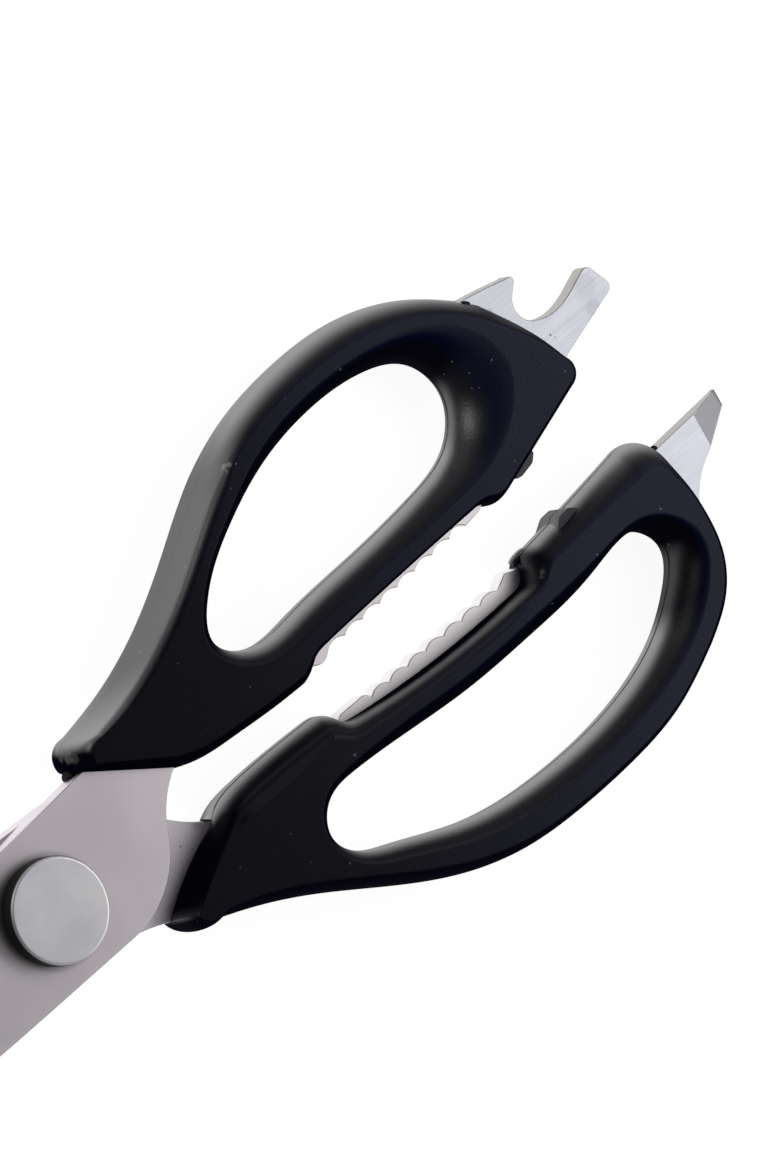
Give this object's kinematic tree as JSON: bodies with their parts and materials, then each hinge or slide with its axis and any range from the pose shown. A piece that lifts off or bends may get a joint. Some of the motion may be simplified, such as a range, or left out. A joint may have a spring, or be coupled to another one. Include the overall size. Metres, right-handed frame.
{
  "type": "kitchen shears",
  "caption": "Take-apart kitchen shears: steel halves turning on a round pivot, looped handles of joined shells, a scalloped gripping strip, a bottle opener and a lid lifter.",
  "frame": {"origin": "on the pivot axis, at the back of the pivot stud's tail, which lies in one plane with the handles' backs", "axes": "+X from the pivot towards the handle ends, +Y towards the handle that carries the bottle opener, +Z along the pivot axis from the back to the round head"},
  "size_m": [0.2248, 0.0766, 0.012],
  "materials": {
    "steel": "fine brushed satin",
    "pivot_steel": "satin",
    "spacer": "plain dark nylon",
    "grip": "fine spark texture, satin"
  },
  "bodies": {
    "front_half": {"front_blade": "steel", "upper_grip_front": "grip", "upper_grip_rear": "grip", "pivot_stud": "pivot_steel", "pivot_washer": "spacer", "pivot_head": "pivot_steel"},
    "rear_half": {"rear_blade": "steel", "lower_grip_front": "grip", "lower_grip_rear": "grip"}
  },
  "joints": [
    {"name": "pivot", "type": "hinge", "parent": "front_half", "child": "rear_half", "pos_m": [0, 0, 0], "axis": [0, 0, -1], "range_deg": [-4.4, 85.6]}
  ]
}
